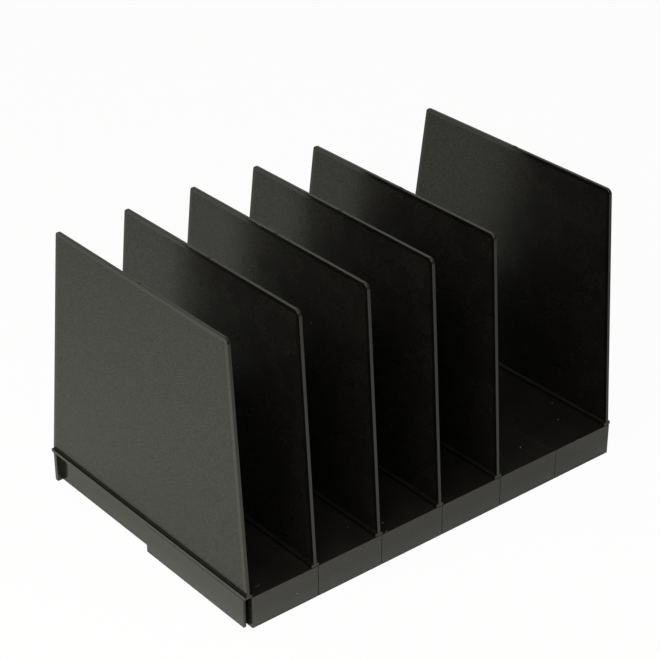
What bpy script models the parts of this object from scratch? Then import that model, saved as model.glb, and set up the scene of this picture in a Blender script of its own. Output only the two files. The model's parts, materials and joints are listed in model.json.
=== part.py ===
"""Desktop file sorter: six identical base modules hooked side by side, and six upright dividers.

The frame has +X along the row of modules, +Y to the rear and +Z up. The origin is on the desk,
in the middle of the footprint, and divider planes stand at whole pitches from it.
"""

from math import atan2, cos, pi, sin, tan

import bmesh
import bpy
from mathutils import Vector

MM = 0.001

# Driving dimensions
PITCH = 50.8 * MM  # from one joint to the next
MODULES = 6
DEPTH = 211.0 * MM  # front fascia to rear fascia
BASE_HEIGHT = 22.5 * MM
TOP_HEIGHT = 194.0 * MM  # desk to the top of the dividers
EMPTY_JOINTS = (5,)  # joints that hold no divider, so their two compartments are one

# Base module
WALL = 2.2 * MM
DECK = 2.2 * MM
REAR_WALL = 3.0 * MM
SEAM = 0.4 * MM  # gap between neighbouring fascias
CLEARANCE = 0.3 * MM  # running gap wherever two pieces sit close
HOOK_REACH = 3.7 * MM  # how far the lip's outer face stands left of the joint line
LIP = 2.1 * MM
LIP_START = 3.8 * MM  # behind the front face
LIP_END = 104.5 * MM
WEB = 2.0 * MM  # the bridge from the deck to the lip
WEB_SETBACK = 0.2 * MM  # rebate along the lip's upper outer edge
HOOKED_WALL = 1.1 * MM  # right wall, the one a neighbour's lip hooks over
RIB = 1.5 * MM
RIB_DROP = 9.0 * MM  # below the deck's underside
CROSS_RIBS = 3
RIB_STEP = 1.0 * MM  # the cross ribs stop this far short of the edge rib's lower edge
EDGE_RIB_INSET = 1.0 * MM  # from the edge of the deck's notch

# Divider
PLATE = 2.2 * MM
DIVIDER_OFFSET = 2.3 * MM  # the plate stands this far left of the joint line
FLANGE_WIDTH = 5.6 * MM
FLANGE_HEIGHT = 2.3 * MM
FRONT_SLOPE = 12.6 * MM  # how far the front edge leans back by the top
REAR_SLOPE = 23.5 * MM
FRONT_RADIUS = 4.0 * MM
REAR_RADIUS = 3.0 * MM
ARC_STEPS = 8
GATE_LENGTH = 3.0 * MM  # moulding gate's stub on the top edge
GATE_WIDTH = 1.2 * MM
GATE_HEIGHT = 0.4 * MM
GATE_ROOT = 2.0 * MM  # how far the stub reaches down inside the plate

# The foot's two locating tabs, and the pockets they drop into
TAB = 1.0 * MM
TAB_LENGTH = 15.0 * MM
TAB_DEPTH = 1.5 * MM  # below the flange
POCKET_DEPTH = 1.4 * MM  # below the deck's face
TAB_CENTRES = (45.0 * MM, 166.0 * MM)  # behind the front face
TAB_PLAY = 0.2 * MM

# Finish
CHARCOAL = (0.018, 0.018, 0.017, 1.0)
BASE_ROUGHNESS = 0.42
DIVIDER_ROUGHNESS = 0.50
SPECULAR = 0.5

OVERRUN = 1.0 * MM  # how far a cutter runs past the face it opens
WELD = 0.01 * MM  # joins the loose caps of a filled outline


def clear_scene():
    for obj in list(bpy.data.objects):
        bpy.data.objects.remove(obj, do_unlink=True)


def new_collection(name, hidden=False):
    collection = bpy.data.collections.new(name)
    bpy.context.scene.collection.children.link(collection)
    collection.hide_render = hidden
    return collection


def new_object(name, data, collection):
    obj = bpy.data.objects.new(name, data)
    collection.objects.link(obj)
    return obj


def tool(obj):
    """Marks a shape that only joins or cuts another one."""
    obj.hide_render = True
    obj.display_type = "WIRE"
    return obj


def block(name, low, high, collection):
    """A box between two corners, with its corners exactly there so that shared planes coincide."""
    shape = bmesh.new()
    bmesh.ops.create_cube(shape, size=1.0)
    for vertex in shape.verts:
        vertex.co = [high[axis] if vertex.co[axis] > 0 else low[axis] for axis in range(3)]
    mesh = bpy.data.meshes.new(name)
    shape.to_mesh(mesh)
    shape.free()
    return tool(new_object(name, mesh, collection))


def outline_solid(name, points, thickness, place, collection):
    """A flat outline given thickness, as a mesh. place maps a curve point to the part's own axes."""
    curve = bpy.data.curves.new(name, "CURVE")
    curve.dimensions = "2D"
    curve.fill_mode = "BOTH"
    curve.extrude = thickness / 2
    spline = curve.splines.new("POLY")
    spline.points.add(len(points) - 1)
    for point, (along, up) in zip(spline.points, points):
        point.co = (along, up, 0.0, 1.0)
    spline.use_cyclic_u = True
    source = new_object(name + "_outline", curve, collection)
    graph = bpy.context.evaluated_depsgraph_get()
    mesh = bpy.data.meshes.new_from_object(source.evaluated_get(graph))
    bpy.data.objects.remove(source, do_unlink=True)
    shape = bmesh.new()
    shape.from_mesh(mesh)
    bmesh.ops.remove_doubles(shape, verts=shape.verts, dist=WELD)
    for vertex in shape.verts:
        vertex.co = place(vertex.co)
    bmesh.ops.recalc_face_normals(shape, faces=shape.faces)
    shape.to_mesh(mesh)
    shape.free()
    return tool(new_object(name, mesh, collection))


def combined(name, first, steps):
    """One mesh: the first shape, with each step's shapes joined to it or cut from it in turn."""
    for operation, shapes in steps:
        for shape in shapes:
            modifier = first.modifiers.new(shape.name, "BOOLEAN")
            modifier.operation = operation
            modifier.object = shape
    graph = bpy.context.evaluated_depsgraph_get()
    mesh = bpy.data.meshes.new_from_object(first.evaluated_get(graph))
    mesh.name = name
    for _, shapes in steps:
        for shape in shapes:
            bpy.data.objects.remove(shape, do_unlink=True)
    bpy.data.objects.remove(first, do_unlink=True)
    return mesh


def module_hollows(tools):
    """Cutters that open the tray from below and leave the hook lip, its slot and the end rib."""
    below = -OVERRUN
    above = BASE_HEIGHT + OVERRUN
    outside = -HOOK_REACH - OVERRUN
    wall_face = SEAM / 2
    rear_face = DEPTH - REAR_WALL
    return [
        block("tray_hollow", (WALL, WALL, below),
              (PITCH - SEAM / 2 - HOOKED_WALL, rear_face, BASE_HEIGHT - DECK), tools),
        block("clear_of_front", (outside, below, below), (wall_face, LIP_START, above), tools),
        block("clear_of_rear", (outside, LIP_END, below), (wall_face, rear_face, above), tools),
        block("hook_slot", (-HOOK_REACH + LIP, LIP_START - OVERRUN, below),
              (wall_face, LIP_END + OVERRUN, BASE_HEIGHT - WEB), tools),
        block("lip_rebate", (outside, LIP_START - OVERRUN, BASE_HEIGHT - WEB),
              (-HOOK_REACH + WEB_SETBACK, LIP_END + OVERRUN, above), tools),
    ]


def module_ribs(tools):
    """Stiffening under the deck: one rib along the notch's edge, and cross ribs to the left wall."""
    top = BASE_HEIGHT - DECK / 2
    bottom = BASE_HEIGHT - DECK - RIB_DROP
    edge = PITCH - HOOK_REACH - CLEARANCE - EDGE_RIB_INSET
    ribs = [
        block("edge_rib", (edge - RIB, WALL / 2, bottom), (edge, DEPTH - REAR_WALL / 2, top), tools)
    ]
    for index in range(CROSS_RIBS):
        middle = DEPTH * (index + 1) / (CROSS_RIBS + 1)
        ribs.append(
            block(f"cross_rib_{index}", (WALL / 2, middle - RIB / 2, bottom + RIB_STEP),
                  (edge - RIB / 2, middle + RIB / 2, top), tools)
        )
    return ribs


def module_notches(tools):
    """Room for the next module's hook and rear fascia, and the pockets for the dividers' tabs."""
    high = BASE_HEIGHT + OVERRUN
    notch = PITCH - HOOK_REACH - CLEARANCE
    cutters = [
        block("hook_notch", (notch, LIP_START - CLEARANCE, BASE_HEIGHT - WEB - CLEARANCE),
              (PITCH + OVERRUN, LIP_END + CLEARANCE, high), tools),
        block("rear_notch", (notch, DEPTH - REAR_WALL - CLEARANCE, -OVERRUN),
              (PITCH + OVERRUN, DEPTH + OVERRUN, high), tools),
    ]
    front, rear = TAB_CENTRES
    half_width = TAB / 2 + TAB_PLAY
    half_length = TAB_LENGTH / 2 + TAB_PLAY
    for name, joint, centre in (("web_pocket", 0.0, front), ("deck_pocket", PITCH, rear)):
        middle = joint - DIVIDER_OFFSET
        cutters.append(
            block(name, (middle - half_width, centre - half_length, BASE_HEIGHT - POCKET_DEPTH),
                  (middle + half_width, centre + half_length, high), tools)
        )
    return cutters


def module_mesh(tools):
    """One base module. Its own origin is on the desk at the left joint line, at mid depth."""
    whole = block("tray", (-HOOK_REACH, 0, 0), (PITCH - SEAM / 2, DEPTH, BASE_HEIGHT), tools)
    steps = [
        ("DIFFERENCE", module_hollows(tools)),
        ("UNION", module_ribs(tools)),
        ("DIFFERENCE", module_notches(tools)),
    ]
    mesh = combined("base_module", whole, steps)
    for vertex in mesh.vertices:
        vertex.co.y -= DEPTH / 2
    return mesh


def rounded(corner, before, after, radius):
    """Points of an arc that rounds a corner between its two neighbours."""
    corner = Vector(corner)
    back = (Vector(before) - corner).normalized()
    ahead = (Vector(after) - corner).normalized()
    half = back.angle(ahead) / 2
    centre = corner + (back + ahead).normalized() * radius / sin(half)
    start = corner + back * radius / tan(half) - centre
    end = corner + ahead * radius / tan(half) - centre
    first = atan2(start.y, start.x)
    turn = (atan2(end.y, end.x) - first + pi) % (2 * pi) - pi
    angles = [first + turn * step / ARC_STEPS for step in range(ARC_STEPS + 1)]
    return [(centre.x + radius * cos(angle), centre.y + radius * sin(angle)) for angle in angles]


def plate_outline():
    """The divider's side view: y behind the front face, z above the foot's underside."""
    top = TOP_HEIGHT - GATE_HEIGHT - BASE_HEIGHT - CLEARANCE
    low_front = (0.0, FLANGE_HEIGHT / 2)
    low_rear = (DEPTH, FLANGE_HEIGHT / 2)
    top_front = (FRONT_SLOPE, top)
    top_rear = (DEPTH - REAR_SLOPE, top)
    return [
        low_front,
        low_rear,
        *rounded(top_rear, low_rear, top_front, REAR_RADIUS),
        *rounded(top_front, top_rear, low_front, FRONT_RADIUS),
    ]


def divider_mesh(tools):
    """One divider. Its own origin is at the middle of its foot's underside."""

    def upright(point):
        return Vector((point.z, point.x - DEPTH / 2, point.y))

    plate = outline_solid("plate", plate_outline(), PLATE, upright, tools)
    half = FLANGE_WIDTH / 2
    shapes = [block("flange", (-half, -DEPTH / 2, 0), (half, DEPTH / 2, FLANGE_HEIGHT), tools)]
    for centre in TAB_CENTRES:
        middle = centre - DEPTH / 2
        shapes.append(
            block("tab", (-TAB / 2, middle - TAB_LENGTH / 2, -TAB_DEPTH),
                  (TAB / 2, middle + TAB_LENGTH / 2, FLANGE_HEIGHT / 2), tools)
        )
    gate_y = (FRONT_SLOPE - REAR_SLOPE) / 2
    gate_top = TOP_HEIGHT - BASE_HEIGHT - CLEARANCE
    shapes.append(
        block("gate", (-GATE_WIDTH / 2, gate_y - GATE_LENGTH / 2, gate_top - GATE_ROOT),
              (GATE_WIDTH / 2, gate_y + GATE_LENGTH / 2, gate_top), tools)
    )
    return combined("divider", plate, [("UNION", shapes)])


def plastic(name, roughness):
    """Charcoal moulded plastic."""
    material = bpy.data.materials.new(name)
    material.use_nodes = True
    shader = material.node_tree.nodes["Principled BSDF"]
    shader.inputs["Base Color"].default_value = CHARCOAL
    shader.inputs["Roughness"].default_value = roughness
    shader.inputs["Metallic"].default_value = 0.0
    shader.inputs["Specular IOR Level"].default_value = SPECULAR
    material.diffuse_color = CHARCOAL
    return material


def placed(name, mesh, roughness, parent, location, collection):
    """An object with its own copy of the mesh and its own material."""
    own = mesh.copy()
    own.name = name
    own.materials.clear()
    own.materials.append(plastic(name + "_plastic", roughness))
    obj = new_object(name, own, collection)
    obj.parent = parent
    obj.location = location
    return obj


def divider_name(joint):
    if joint == 0:
        return "left_end_divider"
    if joint == MODULES:
        return "right_end_divider"
    return f"divider_{joint + 1}"


def build():
    clear_scene()
    parts = new_collection("desktop_file_sorter")
    tools = new_collection("cutters", hidden=True)
    tray = module_mesh(tools)
    plate = divider_mesh(tools)
    root = new_object("desktop_file_sorter_origin", None, parts)
    first_joint = -MODULES / 2 * PITCH + DIVIDER_OFFSET
    on_deck = BASE_HEIGHT + CLEARANCE
    modules = []
    for index in range(MODULES):
        parent = modules[-1] if modules else root
        along = PITCH if modules else first_joint
        modules.append(
            placed(f"base_module_{index + 1}", tray, BASE_ROUGHNESS, parent, (along, 0, 0), parts)
        )
    for joint in range(MODULES + 1):
        if joint in EMPTY_JOINTS:
            continue
        # A divider belongs to the module on its right, and the last one to the last module.
        owner = min(joint, MODULES - 1)
        along = (joint - owner) * PITCH - DIVIDER_OFFSET
        placed(divider_name(joint), plate, DIVIDER_ROUGHNESS, modules[owner],
               (along, 0, on_deck), parts)
    bpy.data.meshes.remove(tray)
    bpy.data.meshes.remove(plate)
    bpy.data.collections.remove(tools)


build()
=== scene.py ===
"""Looks of the desktop file sorter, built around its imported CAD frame. Metres, +Z up."""

import json
from math import atan2, cos, hypot, pi, radians, sin

import bmesh
import bpy
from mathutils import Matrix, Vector


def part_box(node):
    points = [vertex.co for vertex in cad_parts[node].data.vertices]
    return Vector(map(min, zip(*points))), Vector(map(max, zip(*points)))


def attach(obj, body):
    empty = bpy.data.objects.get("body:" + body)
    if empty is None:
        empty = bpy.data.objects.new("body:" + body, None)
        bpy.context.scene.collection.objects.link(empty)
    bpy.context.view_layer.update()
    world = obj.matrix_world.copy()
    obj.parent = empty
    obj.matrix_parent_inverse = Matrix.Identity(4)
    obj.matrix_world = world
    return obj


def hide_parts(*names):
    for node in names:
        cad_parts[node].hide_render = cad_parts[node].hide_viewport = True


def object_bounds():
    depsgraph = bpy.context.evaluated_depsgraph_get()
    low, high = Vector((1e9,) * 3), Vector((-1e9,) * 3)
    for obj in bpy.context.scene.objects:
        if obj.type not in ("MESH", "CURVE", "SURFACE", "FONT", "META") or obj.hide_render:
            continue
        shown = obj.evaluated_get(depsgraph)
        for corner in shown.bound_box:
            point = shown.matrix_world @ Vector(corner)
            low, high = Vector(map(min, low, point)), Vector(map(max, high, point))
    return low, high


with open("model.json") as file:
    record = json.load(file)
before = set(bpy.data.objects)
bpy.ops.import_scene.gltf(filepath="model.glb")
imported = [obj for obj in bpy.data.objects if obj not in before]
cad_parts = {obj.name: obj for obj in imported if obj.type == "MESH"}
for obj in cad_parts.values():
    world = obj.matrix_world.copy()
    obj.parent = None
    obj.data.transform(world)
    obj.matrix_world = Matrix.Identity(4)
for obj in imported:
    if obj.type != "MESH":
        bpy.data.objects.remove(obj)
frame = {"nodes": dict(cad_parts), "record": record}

MM = 0.001
CAD_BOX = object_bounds()

# Divider moulding. Its length, height and foot width come from the frame.
PLATE = 2.2 * MM
FLANGE_HEIGHT = 2.3 * MM
FLANGE_ROUND = 0.22 * MM
FOOT_FILLET = 0.12 * MM
TAB_DROP = 1.5 * MM  # the locating tabs reach this far below the foot
TAB = 1.0 * MM
TAB_LENGTH = 15.0 * MM
TAB_CENTRES = (45.0 * MM, 166.0 * MM)  # behind the front end
TAB_ROUND = 0.25 * MM
GATE_HEIGHT = 0.4 * MM  # stub left on the top edge where the plastic was fed in
GATE_LENGTH = 3.0 * MM
GATE_WIDTH = 1.2 * MM
GATE_ROOT = 1.2 * MM  # how far the stub reaches down inside the plate
GATE_ROUND = 0.1 * MM
FRONT_SLOPE = 12.6 * MM  # how far the front edge leans back by the top
REAR_SLOPE = 23.5 * MM
FRONT_RADIUS = 4.0 * MM
REAR_RADIUS = 3.0 * MM
EDGE_ROUND = 0.3 * MM
BORDER = 2.7 * MM  # smooth band round the textured panel
PANEL_STEP = 0.15 * MM  # width of the step down to the panel
PANEL_DEPTH = 0.06 * MM
CORNER_STEPS = 14
ROUND_STEPS = 4
BLOCK_STEPS = 2  # round the edges of the tabs and the gate
FLAT_ANGLE = radians(40)  # faces that meet at more than this keep a crisp edge
FACE_WEIGHT = 100  # the largest faces alone decide a corner's shading
EJECTOR_RADIUS = 4.0 * MM
EJECTOR_STEPS = 48
EJECTOR_RIM = 0.25 * MM
EJECTOR_DEPTH = 0.05 * MM  # below the panel
EJECTOR_PLACES = ((16.5 * MM, 33.0 * MM), (27.0 * MM, 177.0 * MM))  # from the front end, and height

# Base module moulding. Its shape comes from the frame; these soften its edges.
MODULE_ROUND = 0.15 * MM
MODULE_STEPS = 3
EDGE_ANGLE = radians(30)  # outer edges sharper than this are rounded
SHORTEST_ROUNDED = 1.0 * MM  # edges shorter than this stay crisp
WELD = 0.001 * MM
MERGE_ANGLE = radians(0.5)  # the frame's triangles within this of each other are one flat face
BLEND = cos(radians(55))  # faces turned less than this from each other share a normal

# Camera
CAMERA_AZIMUTH = radians(39.45)
CAMERA_ELEVATION = radians(29.26)
CAMERA_DISTANCE = 1.267
CAMERA_LENS = 107.0
CAMERA_AIM = Vector((-5.4, -2.4, 11.1)) * MM  # from the middle of the object

# Finish. Colours are linear.
CHARCOAL = (0.0072, 0.0066, 0.0061, 1.0)
CHARCOAL_DARK = (0.0055, 0.005, 0.0046, 1.0)
# Lighter colour of rounded edges: partly wear, partly a painted highlight standing in for their
# reflection.
RUBBED_HIGHLIGHT = (0.07, 0.068, 0.065, 1.0)
DUST = (0.7, 0.68, 0.64, 1.0)
WHITE = (1.0, 1.0, 1.0, 1.0)
GRAIN_DETAIL = 3.0
MOTTLE_SIZE = 22 * MM
MOTTLE_DETAIL = 4.0
MIDDLE = (0.3, 0.7)  # the part of a noise's range that a colour runs over
MOST = (0.25, 0.75)  # and the part that roughness and sheen run over
ROUGHNESS_SPREAD = 0.08  # either way, with the mottling
WEAR_HIGHLIGHT_RADIUS = 0.4 * MM
WEAR_HIGHLIGHT_SAMPLES = 4
WEAR_HIGHLIGHT_COSINES = (0.995, 0.90)  # of the turn across a rounded edge, from none to full wear and painted highlight
WEAR_HIGHLIGHT_SHARE = 0.5  # of the lighter edge colour where the mask is full: partly wear, partly a painted highlight
WEAR_POLISH = -0.03  # change in roughness there
SKIRT = 13 * MM  # below this height the sheen gradually rises: a painted reflection of the bright desk close by
SKIRT_FULL = 2.6 * MM
SKIRT_PAINTED_REFLECTION = 0.2
DUST_SPACING = 4 * MM
DUST_RADIUS = 0.28 * MM
DUST_CORE = 0.6  # share of a speck's radius that is at full strength
DUST_ROUGHNESS = 0.4  # how much rougher a speck is than the plastic
SCUFF_PLACE = (-141.1 * MM, -90.1 * MM, 22.5 * MM)  # middle of the arc the scuff follows
SCUFF_RADIUS = 8.0 * MM
SCUFF_WIDTH = 0.2 * MM
SCUFF_CORE = 0.3  # share of the width that is at full strength
SCUFF_TOWARD = (0.2, -0.98, 0.0)
SCUFF_SPAN = cos(radians(17))
SCUFF_STRENGTH = 0.14

# Each finish: strength of the body colour, roughness, sheen, size of the grain, how much the grain
# changes the sheen, height of the grain, how much it changes the colour, and share of dust specks.
SMOOTH = {
    "body": 0.6,
    "roughness": 0.15,
    "sheen": 0.58,
    "grain": 0.6 * MM,
    "contrast": 0.03,
    "depth": 0.002 * MM,
    "tone": 0.1,
    "dust": 0.003,
}
STIPPLE = {
    "body": 1.0,
    "roughness": 0.27,
    "sheen": 0.40,
    "grain": 0.8 * MM,
    "contrast": 0.19,
    "depth": 0.02 * MM,
    "tone": 0.95,
    "dust": 0.003,
}
SATIN = {
    "body": 1.5,
    "roughness": 0.24,
    "sheen": 0.64,
    "grain": 0.7 * MM,
    "contrast": 0.1,
    "depth": 0.004 * MM,
    "tone": 0.3,
    "dust": 0.15,
}

# Studio. Places are in metres.
DAYLIGHT = (1.0, 1.0, 0.89)
SURROUND_DIM = 0.12  # radiance of the room on the left
SURROUND_BRIGHT = 0.53  # and at the right rear
SURROUND_SIDE = (0.35, 0.80, 0.49)
SURROUND_TURN = (-0.7, 0.9)  # cosines from that side at which it is dim and bright
PAPER = 0.92
PAPER_ROUGHNESS = 0.9
PAPER_GLOW = 0.96  # how much of what the camera sees of the paper is plain white
FLOOR_SIZE = 10.0
KEY_PLACE = (-0.5, -0.27, 0.6)
KEY_AIM = (-0.15, -0.03, 0.0)
KEY_SIZE = 0.6
KEY_RADIANCE = 4.1


# Meshes


def mesh_from(shape, name):
    bmesh.ops.recalc_face_normals(shape, faces=shape.faces)
    mesh = bpy.data.meshes.new(name)
    shape.to_mesh(mesh)
    shape.free()
    return mesh


def linked(name, mesh):
    obj = bpy.data.objects.new(name, mesh)
    bpy.context.scene.collection.objects.link(obj)
    return obj


def arc(centre, radius, start, end, steps):
    """Points from one angle to another, with the angle of each."""
    found = []
    for step in range(steps + 1):
        angle = start + (end - start) * step / steps
        found.append((centre[0] + radius * cos(angle), centre[1] + radius * sin(angle), angle))
    return found


def foot_profile(half_width):
    """Right half of the foot's section up to the plate: points (x, z) with their outward normals."""
    inner = half_width - FLANGE_ROUND
    levels = []
    for centre_z, start in ((FLANGE_ROUND, -pi / 2), (FLANGE_HEIGHT - FLANGE_ROUND, 0.0)):
        for x, z, angle in arc((inner, centre_z), FLANGE_ROUND, start, start + pi / 2, ROUND_STEPS):
            levels.append((x, z, cos(angle), sin(angle)))
    centre = (PLATE / 2 + FOOT_FILLET, FLANGE_HEIGHT + FOOT_FILLET)
    for x, z, angle in arc(centre, FOOT_FILLET, 1.5 * pi, pi, ROUND_STEPS):
        levels.append((x, z, -cos(angle), -sin(angle)))
    return levels


def edge_rings():
    """Steps from the rounded edge to the panel: inset in outline, inset in thickness, panel's sink."""
    rings = []
    for step in range(ROUND_STEPS + 1):
        angle = pi / 2 * step / ROUND_STEPS
        rings.append((EDGE_ROUND * (1 - cos(angle)), EDGE_ROUND * (1 - sin(angle)), 0.0))
    rings.append((BORDER, 0.0, 0.0))
    rings.append((BORDER + PANEL_STEP, 0.0, PANEL_DEPTH))
    return rings


class Outline:
    """The divider's side view: front and rear edges that lean inwards, and rounded top corners."""

    def __init__(self, depth, top):
        self.depth = depth
        self.top = top
        self.front_lean = FRONT_SLOPE / (top - FLANGE_HEIGHT)
        self.rear_lean = REAR_SLOPE / (top - FLANGE_HEIGHT)

    def side(self, z, inset, lean):
        """Distance of a leaning edge from the foot's end, at a height and an inset."""
        risen = max(0.0, z - FLANGE_HEIGHT)
        if not risen:
            return inset
        return lean * risen + inset * hypot(1.0, lean)

    def corner(self, inset, lean, radius):
        """Arc that joins a leaning edge to the top, as (distance from the foot's end, z)."""
        tilt = atan2(lean, 1.0)
        centre_z = self.top - radius
        centre_y = lean * (centre_z - FLANGE_HEIGHT) + radius * hypot(1.0, lean)
        points = arc((centre_y, centre_z), radius - inset, pi - tilt, pi / 2, CORNER_STEPS)
        return [(y, z) for y, z, _ in points]


def divider_shape(half_width, depth, top):
    """A closed loft of the divider: foot, plate, rounded edges, smooth border and lowered panels."""
    outline = Outline(depth, top)
    levels = foot_profile(half_width)
    shape = bmesh.new()
    rings = {-1: [], 1: []}
    for inset, rise, sink in edge_rings():
        for side in (-1, 1):
            front = []
            rear = []
            for index, (x, z, normal_x, normal_z) in enumerate(levels):
                lowered = sink if index == len(levels) - 1 else 0.0
                x_at = side * (x - normal_x * (rise + lowered))
                z_at = z - normal_z * rise
                front.append((x_at, outline.side(z, inset, outline.front_lean), z_at))
                rear.append((x_at, depth - outline.side(z, inset, outline.rear_lean), z_at))
            x_at = side * (PLATE / 2 - rise - sink)
            for y, z in outline.corner(inset, outline.front_lean, FRONT_RADIUS):
                front.append((x_at, y, z))
            for y, z in outline.corner(inset, outline.rear_lean, REAR_RADIUS):
                rear.append((x_at, depth - y, z))
            ring = [shape.verts.new(point) for point in front + rear[::-1]]
            rings[side].append(ring)
    fill_loft(shape, rings, len(levels))
    return shape


def fill_loft(shape, rings, levels):
    """Faces of the divider's loft. The panels get material 1, everything else material 0."""
    last = len(rings[1][0]) - 1
    for side in (-1, 1):
        for outer, inner in zip(rings[side], rings[side][1:]):
            for index in range(last):
                shape.faces.new((outer[index], outer[index + 1], inner[index + 1], inner[index]))
        inner = rings[side][-1]
        for index in range(levels - 1):
            shape.faces.new(
                (inner[index], inner[index + 1], inner[last - index - 1], inner[last - index])
            )
        panel = shape.faces.new(inner[levels - 1 : last - levels + 2])
        panel.material_index = 1
    left, right = rings[-1], rings[1]
    for index in range(last):
        shape.faces.new((left[0][index], left[0][index + 1], right[0][index + 1], right[0][index]))
    for index in range(len(left) - 1):
        for end in (0, last):
            shape.faces.new(
                (left[index][end], left[index + 1][end], right[index + 1][end], right[index][end])
            )
    shape.faces.new((left[-1][0], left[-1][last], right[-1][last], right[-1][0]))


def rounded_block(name, low, high, radius):
    """A box between two corners with rounded edges."""
    shape = bmesh.new()
    bmesh.ops.create_cube(shape, size=1.0)
    for vertex in shape.verts:
        vertex.co = [high[axis] if vertex.co[axis] > 0 else low[axis] for axis in range(3)]
    bmesh.ops.bevel(
        shape,
        geom=shape.edges,
        offset=radius,
        segments=BLOCK_STEPS,
        profile=0.5,
        affect="EDGES",
    )
    return linked(name, mesh_from(shape, name))


def ejector_cutter(behind, height):
    """A thin dish that leaves a round ejector mark in the divider's left panel."""
    shape = bmesh.new()
    bmesh.ops.create_cone(
        shape,
        cap_ends=True,
        segments=EJECTOR_STEPS,
        radius1=EJECTOR_RADIUS + EJECTOR_RIM,
        radius2=EJECTOR_RADIUS - EJECTOR_RIM,
        depth=EJECTOR_DEPTH * 2,
    )
    face = PLATE / 2 - PANEL_DEPTH
    for side in shape.faces:
        side.material_index = 1
    for vertex in shape.verts:
        vertex.co = Vector((vertex.co.z - face, vertex.co.x + behind, vertex.co.y + height))
    return linked("ejector_mark", mesh_from(shape, "ejector_mark"))


def combined(obj, steps):
    """Joins or cuts each tool into the object's mesh, and removes the tools."""
    for operation, tool in steps:
        modifier = obj.modifiers.new(tool.name, "BOOLEAN")
        modifier.operation = operation
        modifier.object = tool
    graph = bpy.context.evaluated_depsgraph_get()
    mesh = bpy.data.meshes.new_from_object(obj.evaluated_get(graph))
    obj.modifiers.clear()
    obj.data = mesh
    for _, tool in steps:
        bpy.data.objects.remove(tool, do_unlink=True)


def shaded(obj):
    """Smooth shading that keeps flat faces flat."""
    obj.data.shade_smooth()
    obj.data.set_sharp_from_angle(angle=FLAT_ANGLE)
    modifier = obj.modifiers.new("flat_faces", "WEIGHTED_NORMAL")
    modifier.keep_sharp = True
    modifier.weight = FACE_WEIGHT


def divider_mesh(node, materials):
    """One divider in its own axes: x from the plate's middle, y from the front end, z from the foot.

    Its materials are the smooth border's and the stippled panel's.
    """
    low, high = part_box(node)
    depth = high.y - low.y
    top = high.z - GATE_HEIGHT - low.z - TAB_DROP
    half_width = (high.x - low.x) / 2
    obj = linked("divider", mesh_from(divider_shape(half_width, depth, top), "divider"))
    for material in materials:
        obj.data.materials.append(material)
    steps = []
    for centre in TAB_CENTRES:
        tab = rounded_block(
            "tab",
            (-TAB / 2, centre - TAB_LENGTH / 2, -TAB_DROP),
            (TAB / 2, centre + TAB_LENGTH / 2, FLANGE_HEIGHT / 2),
            TAB_ROUND,
        )
        steps.append(("UNION", tab))
    middle = (depth + FRONT_SLOPE - REAR_SLOPE) / 2
    gate = rounded_block(
        "gate",
        (-GATE_WIDTH / 2, middle - GATE_LENGTH / 2, top - GATE_ROOT),
        (GATE_WIDTH / 2, middle + GATE_LENGTH / 2, top + GATE_HEIGHT),
        GATE_ROUND,
    )
    steps.append(("UNION", gate))
    for behind, height in EJECTOR_PLACES:
        steps.append(("DIFFERENCE", ejector_cutter(behind, height - low.z - TAB_DROP)))
    combined(obj, steps)
    return obj


def place_divider(template, node, body):
    """A copy of the divider where the frame has this one."""
    low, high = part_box(node)
    mesh = template.data.copy()
    offset = Vector(((low.x + high.x) / 2, low.y, low.z + TAB_DROP))
    for vertex in mesh.vertices:
        vertex.co += offset
    piece = linked(node + "_moulding", mesh)
    shaded(piece)
    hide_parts(node)
    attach(piece, body)


def flat_normals(shape, rounds):
    """A normal for every face corner: flat faces stay flat, and rounded edges blend into them."""
    found = []
    for face in shape.faces:
        for loop in face.loops:
            if face not in rounds:
                found.append(face.normal.copy())
                continue
            around = [near for near in loop.vert.link_faces if near.normal.dot(face.normal) > BLEND]
            flat = [near for near in around if near not in rounds]
            if flat:
                nearest = max(flat, key=lambda near: near.normal.dot(face.normal))
                found.append(nearest.normal.copy())
            else:
                found.append(sum((near.normal for near in around), Vector()).normalized())
    return found


def module_mesh(node):
    """The frame's module with its triangles merged into flat faces and its outer edges rounded."""
    shape = bmesh.new()
    shape.from_mesh(frame["nodes"][node].data)
    bmesh.ops.remove_doubles(shape, verts=shape.verts, dist=WELD)
    bmesh.ops.dissolve_limit(
        shape, angle_limit=MERGE_ANGLE, verts=shape.verts, edges=shape.edges
    )
    edges = [
        edge
        for edge in shape.edges
        if edge.calc_face_angle_signed() > EDGE_ANGLE and edge.calc_length() > SHORTEST_ROUNDED
    ]
    rounds = bmesh.ops.bevel(
        shape,
        geom=edges,
        offset=MODULE_ROUND,
        segments=MODULE_STEPS,
        profile=0.5,
        affect="EDGES",
        clamp_overlap=False,
    )["faces"]
    bmesh.ops.recalc_face_normals(shape, faces=shape.faces)
    normals = flat_normals(shape, set(rounds))
    mesh = mesh_from(shape, node + "_moulding")
    mesh.shade_smooth()
    mesh.normals_split_custom_set(normals)
    return mesh


def place_module(node, body, material):
    """The softened module where the frame has this one."""
    piece = linked(node + "_moulding", module_mesh(node))
    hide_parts(node)
    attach(piece, body)
    piece.data.materials.append(material)


# Materials


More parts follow.
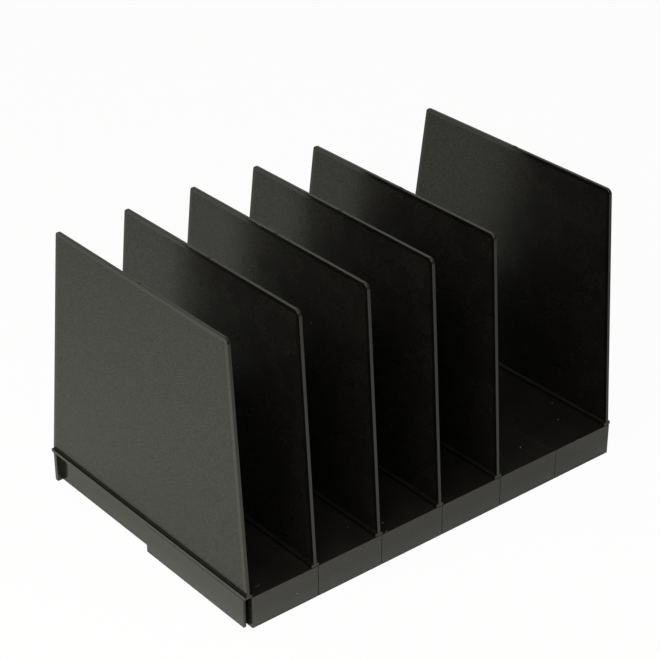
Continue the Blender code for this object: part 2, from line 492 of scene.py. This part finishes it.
class Nodes:
    """A material's node tree, with short calls for the nodes used here."""

    def __init__(self, name):
        self.material = bpy.data.materials.new(name)
        self.material.use_nodes = True
        self.tree = self.material.node_tree
        self.shader = self.tree.nodes["Principled BSDF"]
        self.place = self.add("ShaderNodeTexCoord").outputs["Object"]

    def add(self, kind, **settings):
        node = self.tree.nodes.new(kind)
        for name, value in settings.items():
            setattr(node, name, value)
        return node

    def feed(self, socket, value):
        """Links an output to an input, or sets the input to a plain value."""
        if isinstance(value, bpy.types.NodeSocket):
            self.tree.links.new(value, socket)
        else:
            socket.default_value = value

    def math(self, operation, *values):
        node = self.add("ShaderNodeMath", operation=operation)
        for socket, value in zip(node.inputs, values):
            self.feed(socket, value)
        return node.outputs["Value"]

    def vector(self, operation, *values):
        node = self.add("ShaderNodeVectorMath", operation=operation)
        for socket, value in zip(node.inputs, values):
            if value is not None:
                self.feed(socket, value)
        return node.outputs["Value" if operation in ("LENGTH", "DOT_PRODUCT") else "Vector"]

    def noise(self, size, detail):
        """Noise with features about as large as size, in metres."""
        node = self.add("ShaderNodeTexNoise")
        self.feed(node.inputs["Vector"], self.place)
        node.inputs["Scale"].default_value = 1 / size
        node.inputs["Detail"].default_value = detail
        return node.outputs["Fac"]

    def ramp(self, value, low, high, to_low=0.0, to_high=1.0):
        """Maps low..high of a value to to_low..to_high, clamped and eased."""
        node = self.add("ShaderNodeMapRange", interpolation_type="SMOOTHSTEP")
        self.feed(node.inputs["Value"], value)
        node.inputs["From Min"].default_value = low
        node.inputs["From Max"].default_value = high
        node.inputs["To Min"].default_value = to_low
        node.inputs["To Max"].default_value = to_high
        return node.outputs["Result"]

    def mix(self, share, first, second):
        node = self.add("ShaderNodeMix", data_type="RGBA")
        self.feed(node.inputs["Factor"], share)
        for socket, value in (("A", first), ("B", second)):
            sockets = [found for found in node.inputs if found.name == socket]
            colour = [found for found in sockets if found.type == "RGBA"][0]
            self.feed(colour, value)
        return [found for found in node.outputs if found.type == "RGBA"][0]

    def specks(self, spacing, radius, share):
        """Sparse round specks: only the given share of the cells holds one."""
        cells = self.add("ShaderNodeTexVoronoi")
        self.feed(cells.inputs["Vector"], self.place)
        cells.inputs["Scale"].default_value = 1 / spacing
        reach = radius / spacing
        near = self.ramp(cells.outputs["Distance"], reach, DUST_CORE * reach)
        split = self.add("ShaderNodeSeparateColor")
        self.feed(split.inputs["Color"], cells.outputs["Color"])
        chosen = self.math("LESS_THAN", split.outputs["Red"], share)
        return self.math("MULTIPLY", near, chosen)

    def height(self):
        """Height above the desk."""
        split = self.add("ShaderNodeSeparateXYZ")
        self.feed(split.inputs["Vector"], self.place)
        return split.outputs["Z"]

    def scuff(self):
        """1 along one short curved scratch on the deck of the first module."""
        away = self.vector("SUBTRACT", self.place, SCUFF_PLACE)
        off_arc = self.math("ABSOLUTE", self.math("SUBTRACT", self.vector("LENGTH", away), SCUFF_RADIUS))
        thin = self.ramp(off_arc, SCUFF_WIDTH, SCUFF_CORE * SCUFF_WIDTH)
        along = self.vector("DOT_PRODUCT", self.vector("NORMALIZE", away), SCUFF_TOWARD)
        marked = self.math("MULTIPLY", thin, self.math("GREATER_THAN", along, SCUFF_SPAN))
        return self.math("MULTIPLY", marked, SCUFF_STRENGTH)

    def worn_highlit_edges(self):
        """1 along rounded edges and 0 on flat faces: the mask for edge wear and for a painted edge
        highlight.
        """
        bevel = self.add("ShaderNodeBevel", samples=WEAR_HIGHLIGHT_SAMPLES)
        bevel.inputs["Radius"].default_value = WEAR_HIGHLIGHT_RADIUS
        normal = self.add("ShaderNodeNewGeometry").outputs["Normal"]
        along = self.vector("DOT_PRODUCT", bevel.outputs["Normal"], normal)
        return self.ramp(along, *WEAR_HIGHLIGHT_COSINES)


def body_colour(nodes, finish, grain, mottle, edges, dust):
    """Charcoal with mottling and grain, lighter under dust and on rounded edges, where the lighter
    colour is partly wear and partly a painted highlight.
    """
    body, tone = finish["body"], finish["tone"]
    colour = nodes.mix(nodes.ramp(mottle, *MIDDLE), CHARCOAL_DARK, CHARCOAL)
    speckle = nodes.ramp(grain, *MIDDLE, body * (1 - tone), body * (1 + tone))
    colour = nodes.vector("SCALE", colour, None, None, speckle)
    # Wear and painted highlight: rounded edges are mixed towards a lighter colour.
    colour = nodes.mix(nodes.math("MULTIPLY", edges, WEAR_HIGHLIGHT_SHARE), colour, RUBBED_HIGHLIGHT)
    return nodes.mix(dust, colour, DUST)


def moulded_plastic(name, finish):
    """Moulded plastic: a body colour, lighter on rounded edges from wear and a painted highlight, uneven
    roughness, a grained sheen raised near the desk as a painted reflection, and a fine relief.
    """
    nodes = Nodes(name)
    grain = nodes.noise(finish["grain"], GRAIN_DETAIL)
    mottle = nodes.noise(MOTTLE_SIZE, MOTTLE_DETAIL)
    edges = nodes.worn_highlit_edges()
    specks = nodes.specks(DUST_SPACING, DUST_RADIUS, finish["dust"])
    dust = nodes.math("MAXIMUM", specks, nodes.scuff())
    colour = body_colour(nodes, finish, grain, mottle, edges, dust)
    nodes.feed(nodes.shader.inputs["Base Color"], colour)

    roughness = finish["roughness"]
    smoothest, roughest = roughness * (1 - ROUGHNESS_SPREAD), roughness * (1 + ROUGHNESS_SPREAD)
    varied = nodes.ramp(mottle, *MOST, smoothest, roughest)
    rubbed = nodes.math("MULTIPLY_ADD", edges, WEAR_POLISH, varied)
    dusty = nodes.math("MULTIPLY_ADD", dust, DUST_ROUGHNESS, rubbed)
    nodes.feed(nodes.shader.inputs["Roughness"], dusty)

    sheen, contrast = finish["sheen"], finish["contrast"]
    level = nodes.ramp(grain, *MOST, sheen - contrast, sheen + contrast)
    # Painted reflection: a stronger sheen near the desk brightens the lower edges, as the nearby desk's
    # reflection would.
    low_painted_reflection = nodes.ramp(nodes.height(), SKIRT, SKIRT_FULL, 0.0, SKIRT_PAINTED_REFLECTION)
    nodes.feed(nodes.shader.inputs["Specular IOR Level"], nodes.math("ADD", level, low_painted_reflection))

    bump = nodes.add("ShaderNodeBump")
    bump.inputs["Distance"].default_value = finish["depth"]
    nodes.feed(bump.inputs["Height"], grain)
    nodes.feed(nodes.shader.inputs["Normal"], bump.outputs["Normal"])
    return nodes.material


# Stage


def softbox(name, place, size, radiance, target):
    """A square studio light aimed at a point."""
    data = bpy.data.lights.new(name, "AREA")
    data.size = size
    data.energy = radiance * pi * size * size
    data.color = DAYLIGHT
    obj = bpy.data.objects.new(name, data)
    bpy.context.scene.collection.objects.link(obj)
    obj.visible_camera = False
    obj.location = place
    obj.rotation_euler = (Vector(place) - target).to_track_quat("Z", "Y").to_euler()


def floor():
    """White paper. The camera sees it close to white, with only a soft shadow left."""
    shape = bmesh.new()
    bmesh.ops.create_grid(shape, x_segments=1, y_segments=1, size=FLOOR_SIZE)
    obj = linked("floor", mesh_from(shape, "floor"))
    nodes = Nodes("floor_paper")
    nodes.shader.inputs["Base Color"].default_value = (PAPER, PAPER, PAPER, 1.0)
    nodes.shader.inputs["Roughness"].default_value = PAPER_ROUGHNESS
    nodes.shader.inputs["Specular IOR Level"].default_value = 0.0
    glow = nodes.add("ShaderNodeEmission")
    glow.inputs["Color"].default_value = WHITE
    mixer = nodes.add("ShaderNodeMixShader")
    seen = nodes.add("ShaderNodeLightPath").outputs["Is Camera Ray"]
    nodes.feed(mixer.inputs[0], nodes.math("MULTIPLY", seen, PAPER_GLOW))
    nodes.feed(mixer.inputs[1], nodes.shader.outputs["BSDF"])
    nodes.feed(mixer.inputs[2], glow.outputs["Emission"])
    output = nodes.tree.nodes["Material Output"]
    nodes.feed(output.inputs["Surface"], mixer.outputs["Shader"])
    obj.data.materials.append(nodes.material)


def studio():
    """A soft surrounding that the camera sees as white, and a softbox over the front left."""
    world = bpy.data.worlds.new("studio")
    bpy.context.scene.world = world
    world.use_nodes = True
    tree = world.node_tree
    around = tree.nodes["Background"]
    around.inputs["Color"].default_value = (*DAYLIGHT, 1.0)
    toward = tree.nodes.new("ShaderNodeVectorMath")
    toward.operation = "DOT_PRODUCT"
    toward.inputs[1].default_value = SURROUND_SIDE
    tree.links.new(tree.nodes.new("ShaderNodeTexCoord").outputs["Generated"], toward.inputs[0])
    strength = tree.nodes.new("ShaderNodeMapRange")
    strength.interpolation_type = "SMOOTHSTEP"
    strength.inputs["From Min"].default_value = SURROUND_TURN[0]
    strength.inputs["From Max"].default_value = SURROUND_TURN[1]
    strength.inputs["To Min"].default_value = SURROUND_DIM
    strength.inputs["To Max"].default_value = SURROUND_BRIGHT
    tree.links.new(toward.outputs["Value"], strength.inputs["Value"])
    tree.links.new(strength.outputs["Result"], around.inputs["Strength"])
    white = tree.nodes.new("ShaderNodeBackground")
    white.inputs["Color"].default_value = WHITE
    mixer = tree.nodes.new("ShaderNodeMixShader")
    seen = tree.nodes.new("ShaderNodeLightPath")
    tree.links.new(seen.outputs["Is Camera Ray"], mixer.inputs[0])
    tree.links.new(around.outputs["Background"], mixer.inputs[1])
    tree.links.new(white.outputs["Background"], mixer.inputs[2])
    tree.links.new(mixer.outputs["Shader"], tree.nodes["World Output"].inputs["Surface"])
    softbox("key_light", KEY_PLACE, KEY_SIZE, KEY_RADIANCE, Vector(KEY_AIM))


def camera():
    """The camera, at its azimuth and elevation round a point near the middle of the object."""
    low, high = (Vector(corner) for corner in CAD_BOX)
    aim = (low + high) / 2 + CAMERA_AIM
    back = Vector(
        (
            -sin(CAMERA_AZIMUTH) * cos(CAMERA_ELEVATION),
            -cos(CAMERA_AZIMUTH) * cos(CAMERA_ELEVATION),
            sin(CAMERA_ELEVATION),
        )
    )
    data = bpy.data.cameras.new("camera")
    data.lens = CAMERA_LENS
    obj = bpy.data.objects.new("camera", data)
    bpy.context.scene.collection.objects.link(obj)
    obj.location = aim + back * CAMERA_DISTANCE
    obj.rotation_euler = back.to_track_quat("Z", "Y").to_euler()
    bpy.context.scene.camera = obj


def build():
    """Every piece on the body that carries it, then the stage."""
    smooth = moulded_plastic("divider_smooth", SMOOTH)
    stipple = moulded_plastic("divider_stipple", STIPPLE)
    satin = moulded_plastic("base_satin", SATIN)
    bodies = {}
    for body, nodes in frame["record"]["behaviour"]["bodies"].items():
        for node in nodes:
            bodies[node] = body
    dividers = [node for node in bodies if "divider" in node]
    template = divider_mesh(dividers[0], (smooth, stipple))
    for node, body in bodies.items():
        if node in dividers:
            place_divider(template, node, body)
        else:
            place_module(node, body, satin)
    bpy.data.objects.remove(template, do_unlink=True)
    floor()
    studio()
    camera()
    bpy.context.scene.view_settings.view_transform = "Standard"


build()
